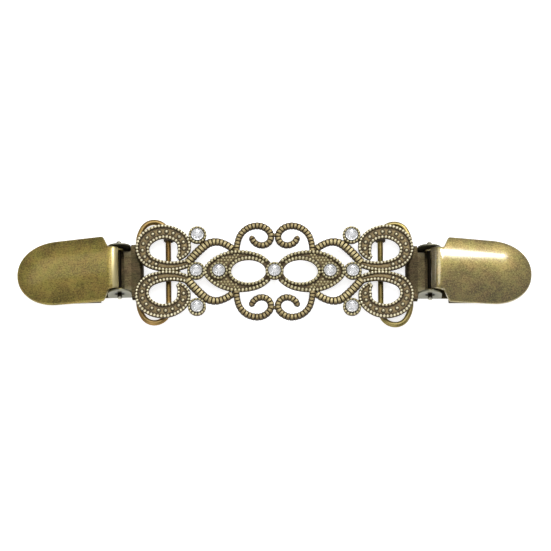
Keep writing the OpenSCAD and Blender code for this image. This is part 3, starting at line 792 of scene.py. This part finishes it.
warm_wire = brass_finish(
    "warm_brass_wire", rgb(82, 61, 29), rgb(146, 118, 68), rgb(190, 162, 108), 0.3, speck=0.2)
olive_wire = brass_finish(
    "olive_brass_wire", rgb(84, 72, 38), rgb(142, 126, 76), rgb(184, 168, 112), 0.3, speck=0.2)
right_loop, left_loop = wire_loop(RIGHT_SLIDE), on_left(wire_loop(), False)
piece("ring_right_wire", [right_loop], "ring_right", olive_wire, ["ring_right"])
piece("ring_left_wire", [left_loop], "ring_left", warm_wire, ["ring_left"])


# Clip bases
# A strap of plated sheet steel is rolled round the ring's outer bar, folded back as a narrow tab
# and carried on as the jaw. Two ears are turned up beside it, and the jaw's nose ends in teeth.

SHEET = 0.6
CLIP_X = HOOK_X + RING_SPAN
PIN_X, PIN_Z, PIN_R, PIN_HALF = CLIP_X + 5.75, 4.4, 0.65, 9.2
TAB_HALF, HEM_HALF, EAR_OUT, EAR_R, JAW_HALF = 6.25, 8.35, 7.5, 3.6, 8.9
TAB_END, HEM_END = CLIP_X + 4.3, CLIP_X + 2.15
NOSE_X, NOSE_TIP = PIN_X + 18.3, PIN_X + 29
TOOTH_Z, TOOTH_PITCH = 1.5, 1.3
EAR_SIDES, LIP_POINTS = 72, 220


def strip(x, z, normal_x, normal_z, half, worn):
    """A sheet strip: its middle line runs through x, z with a thickness along the normal and a
    half width across Y. The section is a rounded rectangle."""
    edge = np.array([-1, -1, -0.5, 0, 0.5, 1, 1, 1, 0.5, 0, -0.5, -1])
    inset = np.array([0, 0.12, 0, 0, 0, -0.12, 0, -0.12, 0, 0, 0, 0.12])
    thick = np.array([0, 1, 1, 1, 1, 1, 0, -1, -1, -1, -1, -1]) * SHEET / 2
    y = half[:, None] * edge + inset
    y = np.where(half[:, None] < 0.3, half[:, None] * edge, y)
    points = np.stack([
        x[:, None] + thick * normal_x[:, None], y, z[:, None] + thick * normal_z[:, None]], 2)
    flat, faces = loops(points)
    edge_worn = np.where(np.abs(edge) == 1, 0.75, 0.3)
    return flat, faces, tube_field(worn[:, None] * edge_worn / 0.3)


def clip_strap():
    """The strap's path from the tab's end, in a half circle round the ring bar, to the tip of the
    jaw, whose half width is JAW_HALF cos of the angle whose sine is the share of the nose."""
    mean_r = BAR_Z - SHEET / 2
    roll = np.linspace(0, math.pi, 25)[1:-1]
    nose = np.linspace(0, math.pi / 2, 25)
    top_x = np.array([TAB_END, TAB_END - 0.08, HEM_END + 0.12, HEM_END, HEM_END - 0.1, CLIP_X])
    top_half = np.array([TAB_HALF - 0.3, TAB_HALF, TAB_HALF, HEM_HALF - 0.3, HEM_HALF, HEM_HALF])
    jaw_x = PIN_X + EAR_R + 2
    low_x = np.array([
        CLIP_X, HEM_END - 0.1, HEM_END, HEM_END + 0.12, PIN_X + EAR_R, jaw_x, jaw_x + 0.1])
    low_half = np.array([HEM_HALF, HEM_HALF, HEM_HALF - 0.3, EAR_OUT, EAR_OUT, EAR_OUT, JAW_HALF])
    nose_x = NOSE_X + (NOSE_TIP - NOSE_X) * np.sin(nose)
    nose_half = np.maximum(JAW_HALF * np.cos(nose), 0.05)
    above, below = np.ones(len(top_x)), np.ones(len(low_x) + len(nose))
    x = np.concatenate([top_x, CLIP_X - mean_r * np.sin(roll), low_x, nose_x])
    z = np.concatenate([
        above * (BAR_Z + mean_r), BAR_Z + mean_r * np.cos(roll), below * SHEET / 2])
    half = np.concatenate([top_half, np.full(len(roll), HEM_HALF), low_half, nose_half])
    nx = np.concatenate([0 * above, -np.sin(roll), 0 * below])
    nz = np.concatenate([above, np.cos(roll), -below])
    # The top of the hem by the panel is painted darker: painted shade, with some patina.
    worn = np.where((x < HEM_END + 0.1) & (z > BAR_Z), 0.12, 0.3)
    return strip(x, z, nx, nz, half, worn)


def ear(side):
    """A flat plate about the pin: round above it, and square down to the strap below it, where
    its edge is at the nearer of EAR_R / |cos| and the pin's height / -sin. The outer face has a
    dimple around the hole, painted dark as patina and painted shade."""
    turn = np.arange(EAR_SIDES)[:, None] * math.tau / EAR_SIDES
    c, s = np.cos(turn), np.sin(turn)
    beside_pin = EAR_R / np.maximum(np.abs(c), 1e-6)
    below_pin = (PIN_Z - 0.1) / np.maximum(-s, 1e-6)
    reach = np.where(s > 0, EAR_R, np.minimum(beside_pin, below_pin))
    # Columns: share of the outline, millimetres beyond it, depth from the outer face, wear and painted
    # light; 0 in the dimple, patina and painted shade.
    section = np.array([
        (0, 0.72, 0.55, 0.1),
        (0, 0.72, 0.30, 0.0),
        (0, 1.30, 0.24, 0.0),
        (0, 1.50, 0.02, 0.2),
        (0, 1.66, 0.00, 0.7),
        (1, -0.3, 0.00, 0.9),
        (1, -0.06, 0.05, 1.0),
        (1, 0.0, 0.2, 0.9),
        (1, 0.0, SHEET - 0.1, 0.6),
        (1, -0.1, SHEET, 0.4),
        (0, 1.3, SHEET, 0.2)])
    out = section[:, 0] * reach + section[:, 1]
    y = np.broadcast_to(side * (EAR_OUT - section[:, 2]), out.shape)
    flat, faces = loops(np.stack([PIN_X + out * c, y, PIN_Z + out * s], 2), close_ends=False)
    return flat, faces, np.broadcast_to(section[:, 3], out.shape).reshape(-1)


def toothed_lip():
    """A lip along the jaw's nose ellipse. Its top rises from SHEET to TOOTH_Z in square teeth,
    where the distance from the middle of a gap passes a quarter of the pitch."""
    nose = np.linspace(-1.02, 1.02, LIP_POINTS)
    x, y = NOSE_X + (NOSE_TIP - NOSE_X) * np.cos(nose), JAW_HALF * np.sin(nose)
    wave = np.abs((y / TOOTH_PITCH) % 1 - 0.5)
    top = SHEET + (TOOTH_Z - SHEET) * np.clip((wave - 0.24) * 12, 0, 1)
    nx, ny = np.cos(nose), np.sin(nose)
    depth = np.array([0, 0, 0.08, 0.5, SHEET, SHEET])
    low = np.array([0.1, 0, 0, 0, 0, 0.1])
    share = np.array([0, 0.94, 1, 1, 0.94, 0])
    worn = np.array([0.3, 0.5, 0.9, 0.9, 0.5, 0.3])
    points = np.stack([
        x[:, None] - depth * nx[:, None], y[:, None] - depth * ny[:, None],
        low + (top[:, None] - low) * share], 2)
    flat, faces = loops(points)
    return flat, faces, tube_field(np.broadcast_to(worn, points.shape[:2]))


sheet_finish = brass_finish(
    "dull_sheet", rgb(48, 41, 29), rgb(90, 79, 56), rgb(126, 118, 94), 0.42, speck=0.9, brushed=0.7)
ear_finish = brass_finish(
    "grey_ear_sheet", rgb(58, 56, 44), rgb(92, 91, 75), rgb(142, 140, 122), 0.4, speck=0.6)
strap_parts, ear_parts = [clip_strap(), toothed_lip()], [ear(1), ear(-1)]
for hand in ("right", "left"):
    if hand == "left":
        strap_parts = [on_left(part, True) for part in strap_parts]
        ear_parts = [on_left(part, True) for part in ear_parts]
    body, node = f"clip_{hand}", [f"clip_base_{hand}"]
    piece(f"clip_strap_{hand}", strap_parts, body, sheet_finish, node)
    piece(f"clip_ears_{hand}", ear_parts, body, ear_finish, node)


# Hinge pins
# A short steel rivet runs through both ears and the lid's lugs, with a rounded head at each end.

# Columns: radius, place along the pin, wear and painted light. The middle, at 0, is painted dark:
# painted shade under the lid's neck, with some oxide.
PIN_SECTION = np.array([
    (0.0, -PIN_HALF, 0.9),
    (0.3, -PIN_HALF + 0.05, 0.9),
    (0.62, -PIN_HALF + 0.25, 0.85),
    (0.78, -PIN_HALF + 0.6, 0.72),
    (0.7, -PIN_HALF + 1.0, 0.4),
    (PIN_R, -PIN_HALF + 1.3, 0.3),
    (PIN_R, -PIN_HALF + 2.4, 0.0),
    (PIN_R, 0.0, 0.0)])
pin_section = np.concatenate([PIN_SECTION, (PIN_SECTION * np.array([1, -1, 1]))[-2::-1]])
pin_finish = brass_finish(
    "steel_pin_worn_and_shaded", rgb(34, 27, 18), rgb(60, 50, 36), rgb(200, 197, 180), 0.34, speck=0.3)
right_pin = about_bar(turned(pin_section, 28), PIN_X, PIN_Z)
left_pin = on_left(right_pin, True)
piece("pin_right_rivet", [right_pin], "clip_right", pin_finish, ["hinge_pin_right"])
piece("pin_left_rivet", [left_pin], "clip_left", pin_finish, ["hinge_pin_left"])


# Lids
# Each lid is pressed from one sheet, plated and antiqued as brass: crowned across, with a rounded
# nose, slanted shoulders, a narrow neck between the ears and its edges turned down. Two lugs
# hang it on the pin.

LID_TOP, LID_DEPTH, LID_SLOPE, LID_LONG, LID_NOSE = 5.05, 2.3, math.radians(13), 30.8, 12.6
LID_HALF, LID_FRONT, NECK_HALF, NECK_X, SHOULDER_RUN = 10.2, 10.0, 6.6, -0.42, 1.7
SHOULDER_LEFT, SHOULDER_RIGHT = 2.4, 3.4
CROWN_R, EDGE_R, NECK_ROLL, ROLL_RUN, NOSE_DROP, NOSE_START = 32, 0.55, 2.1, 3.1, 0.8, 22
CORE_FROM, CORE_TO = 2.0, 20.8
# The end of the neck is painted bright on the left lid, a painted highlight, and dark on the right
# lid, painted shade.
NECK_STRIP, STRIP_FADE, NECK_LIGHT_LEFT, NECK_LIGHT_RIGHT = 1.35, 0.45, 0.95, 0.1
EYE_R, LUG_SIDES = 1.35, 60


def lid_outline(shoulder):
    """The lid's edge, evenly spaced from the nose round to the nose, with softened corners. The
    nose is a full oval: LID_NOSE cos t and LID_FRONT sin t, both to the power 0.95."""
    t = np.radians(np.arange(0, 91, 3))
    nose_x, nose_y = LID_NOSE * np.cos(t) ** 0.95, LID_FRONT * np.sin(t) ** 0.95
    x = np.concatenate([LID_LONG - LID_NOSE + nose_x, [shoulder + SHOULDER_RUN, shoulder, NECK_X]])
    y = np.concatenate([nose_y, [LID_HALF, NECK_HALF, NECK_HALF]])
    x, y = np.concatenate([x, x[::-1]]), np.concatenate([y, -y[::-1]])
    s = np.concatenate([[0], np.cumsum(np.hypot(np.diff(x), np.diff(y)))])
    even = np.linspace(0, s[-1], 260, endpoint=False)
    edge = np.column_stack([np.interp(even, s, x), np.interp(even, s, y)])
    for _ in range(3):
        edge = (np.roll(edge, 1, 0) + 2 * edge + np.roll(edge, -1, 0)) / 4
    return edge


def lid_shell(shoulder, neck_light):
    """Rings of points from the lid's middle line out over the rolled edge, down the skirt and
    back underneath. The top is LID_TOP less the crown's sag, R - root(R2 - y2), the neck's roll,
    a like arc along x, the nose's drop, a square of the share of its run, and a quarter round at
    the edge. neck_light is how bright the end of the neck is painted: near 1 a painted highlight,
    near 0 painted shade."""
    edge = lid_outline(shoulder)
    core = np.column_stack([np.clip(edge[:, 0], CORE_FROM, CORE_TO), np.zeros(len(edge))])
    gap = np.linalg.norm(edge - core, axis=1, keepdims=True)
    inward = (core - edge) / gap
    low = LID_TOP - LID_DEPTH

    def ring(share, depth, drop, floor):
        """One ring, a share of the way from the core to the edge inset by depth."""
        rim = edge + inward * depth
        flat = core + (rim - core) * share
        sag = CROWN_R - np.sqrt(CROWN_R ** 2 - flat[:, 1] ** 2)
        bend = np.clip((ROLL_RUN - (flat[:, 0] - NECK_X)) / ROLL_RUN, 0, 1)
        roll = NECK_ROLL * (1 - np.sqrt(1 - bend ** 2))
        nose = NOSE_DROP * np.clip((flat[:, 0] - NOSE_START) / (LID_LONG - NOSE_START), 0, 1) ** 2
        z = np.maximum(LID_TOP - sag - roll - nose - drop, floor)
        return np.column_stack([flat, z])

    rows, worn = [], []
    for share in (0, 0.2, 0.4, 0.58, 0.74, 0.88):
        rows.append(ring(share, EDGE_R, 0, low))
        worn.append(0.3)
    for t in np.linspace(0, 1, 7):
        inset = EDGE_R * (1 - math.sin(t * math.pi / 2))
        rows.append(ring(1, inset, EDGE_R * (1 - math.cos(t * math.pi / 2)), low + 0.08))
        worn.append(0.3 + 0.35 * t)
    top_rows = len(rows)
    for depth, z, w in ((0, 0.06, 0.8), (0.08, 0, 0.9), (SHEET - 0.1, 0, 0.7), (SHEET, 0.06, 0.3)):
        flat = edge + inward * depth
        rows.append(np.column_stack([flat, np.full(len(flat), low + z)]))
        worn.append(w)
    underside = ((1, 0.35), (0.985, 0.1), (0.9, 0), (0.74, 0), (0.5, 0), (0.25, 0), (0, 0))
    for share, corner in underside:
        rows.append(ring(share, SHEET, SHEET + corner, low + 0.09))
        worn.append(0.2)
    grid = np.stack(rows)
    n, m = grid.shape[:2]
    i, j = np.meshgrid(np.arange(n - 1), np.arange(m), indexing="ij")
    j2 = (j + 1) % m
    quads = np.stack([i * m + j, (i + 1) * m + j, (i + 1) * m + j2, i * m + j2], 2).reshape(-1, 4)
    worn = np.repeat(worn, m)
    x = grid.reshape(-1, 3)[:, 0]
    near = np.clip((NECK_STRIP - x) / STRIP_FADE, 0, 1) * (np.arange(n * m) < top_rows * m)
    return grid.reshape(-1, 3), quads, worn + (neck_light - worn) * near


def lug(side):
    """A plate inside an ear, from the neck down to an eye about the pin. Above the eye its edge is
    at the nearest of four straight lines, each a distance / (cosine of the angle to it)."""
    turn = np.arange(LUG_SIDES)[:, None] * math.tau / LUG_SIDES
    c, s = np.cos(turn), np.sin(turn)
    up = (LID_TOP - 0.9) / np.maximum(s, 1e-6)
    back, front = 0.1 / np.maximum(-c, 1e-6), 1.3 / np.maximum(c - 0.48 * s, 1e-6)
    rolled = 3.15 / np.maximum(s - 0.35 * c, 1e-6)
    lines = np.minimum(np.minimum(up, rolled), np.minimum(front, back))
    reach = np.maximum(EYE_R, np.where(s > 0, lines, 0))
    # Columns: share of the outline, millimetres beyond it, depth from the outer face, worn.
    section = np.array([
        (0, 0.72, 0.05, 0.2),
        (1, -0.08, 0, 0.4),
        (1, 0, 0.08, 0.6),
        (1, 0, SHEET - 0.08, 0.6),
        (1, -0.08, SHEET, 0.4),
        (0, 0.72, SHEET - 0.05, 0.2)])
    out = section[:, 0] * reach + section[:, 1]
    y = np.broadcast_to(side * (NECK_HALF - section[:, 2]), out.shape)
    flat, faces = loops(np.stack([out * c, y, out * s], 2), close_ends=False)
    return flat, faces, np.broadcast_to(section[:, 3], out.shape).reshape(-1)


def closed_lid(part):
    """Slopes a part made in the lid's own frame down to the jaw about the pin: x, z go to
    x cos + z sin, z cos - x sin beyond the pin."""
    p, f, w = part
    c, s = math.cos(LID_SLOPE), math.sin(LID_SLOPE)
    x, z = p[:, 0] * c + p[:, 2] * s, p[:, 2] * c - p[:, 0] * s
    return np.column_stack([PIN_X + x, p[:, 1], PIN_Z + z]), f, w


dull_lid = brass_finish(
    "dull_lid_brass", rgb(98, 84, 41), rgb(155, 138, 70), rgb(188, 176, 130), 0.38,
    speck=1.2, brushed=0.45, lacquer=0.2)
glossy_lid = brass_finish(
    "glossy_lid_brass", rgb(88, 75, 38), rgb(144, 128, 72), rgb(190, 176, 124), 0.38,
    speck=1.3, brushed=0.35, lacquer=0.9)
lugs = [lug(1), lug(-1)]
right_lid = [lid_shell(SHOULDER_RIGHT, NECK_LIGHT_RIGHT), *lugs]
left_lid = [lid_shell(SHOULDER_LEFT, NECK_LIGHT_LEFT), *lugs]
right_lid = [closed_lid(part) for part in right_lid]
left_lid = [on_left(closed_lid(part), True) for part in left_lid]
piece("lid_right_shell", right_lid, "lid_right", glossy_lid, ["clip_lid_right"])
piece("lid_left_shell", left_lid, "lid_left", dull_lid, ["clip_lid_left"])
